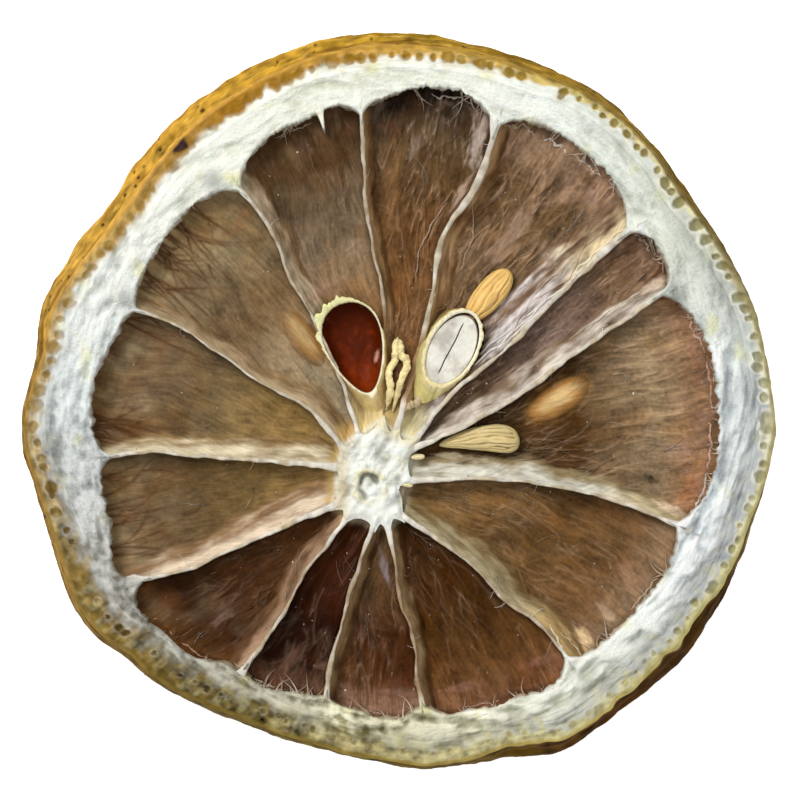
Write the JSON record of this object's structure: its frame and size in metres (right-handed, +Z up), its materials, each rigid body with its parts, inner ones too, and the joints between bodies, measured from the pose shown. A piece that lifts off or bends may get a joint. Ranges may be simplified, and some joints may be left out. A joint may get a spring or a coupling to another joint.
{
  "type": "dried lemon slice",
  "caption": "Dried round slice of lemon with golden rind, white pith ring, thin membranes running to an off-centre core, sunken brown pulp films and seeds.",
  "frame": {"origin": "middle of the outline's box, on the surface the slice lies on", "axes": "+Z up through the thickness, out of the shown cut face; +Y from the core towards the rim beside the open seed, which is the top of the shown face; +X to the right of that face"},
  "size_m": [0.0578, 0.0565, 0.0062],
  "materials": {
    "pith": "dry chalky white pith and membranes, with golden rind outside",
    "rind": "dry golden rind, pitted with oil glands, semi-matte",
    "pulp": "translucent dried pulp film, satin",
    "seed_coat": "dry cream-yellow seed coat, semi-matte",
    "seed_kernel": "pale cut kernel, satin"
  },
  "bodies": {
    "root": {"peel_frame": "pith", "pulp_01": "pulp", "pulp_02": "pulp", "pulp_03": "pulp", "pulp_04": "pulp", "pulp_05": "pulp", "pulp_06": "pulp", "pulp_07": "pulp", "pulp_08": "pulp", "pulp_09": "pulp", "pulp_10": "pulp", "pulp_11": "pulp", "pulp_12": "pulp", "pulp_13": "pulp", "seed_kernel": "seed_kernel", "seed_kernel_coat": "seed_coat", "seed_open": "seed_coat", "seed_shrunken": "seed_coat", "seed_ridged_gold": "seed_coat", "seed_ridged_cream": "seed_coat", "seed_sunk_right": "seed_coat", "seed_sunk_left": "seed_coat"}
  },
  "joints": []
}
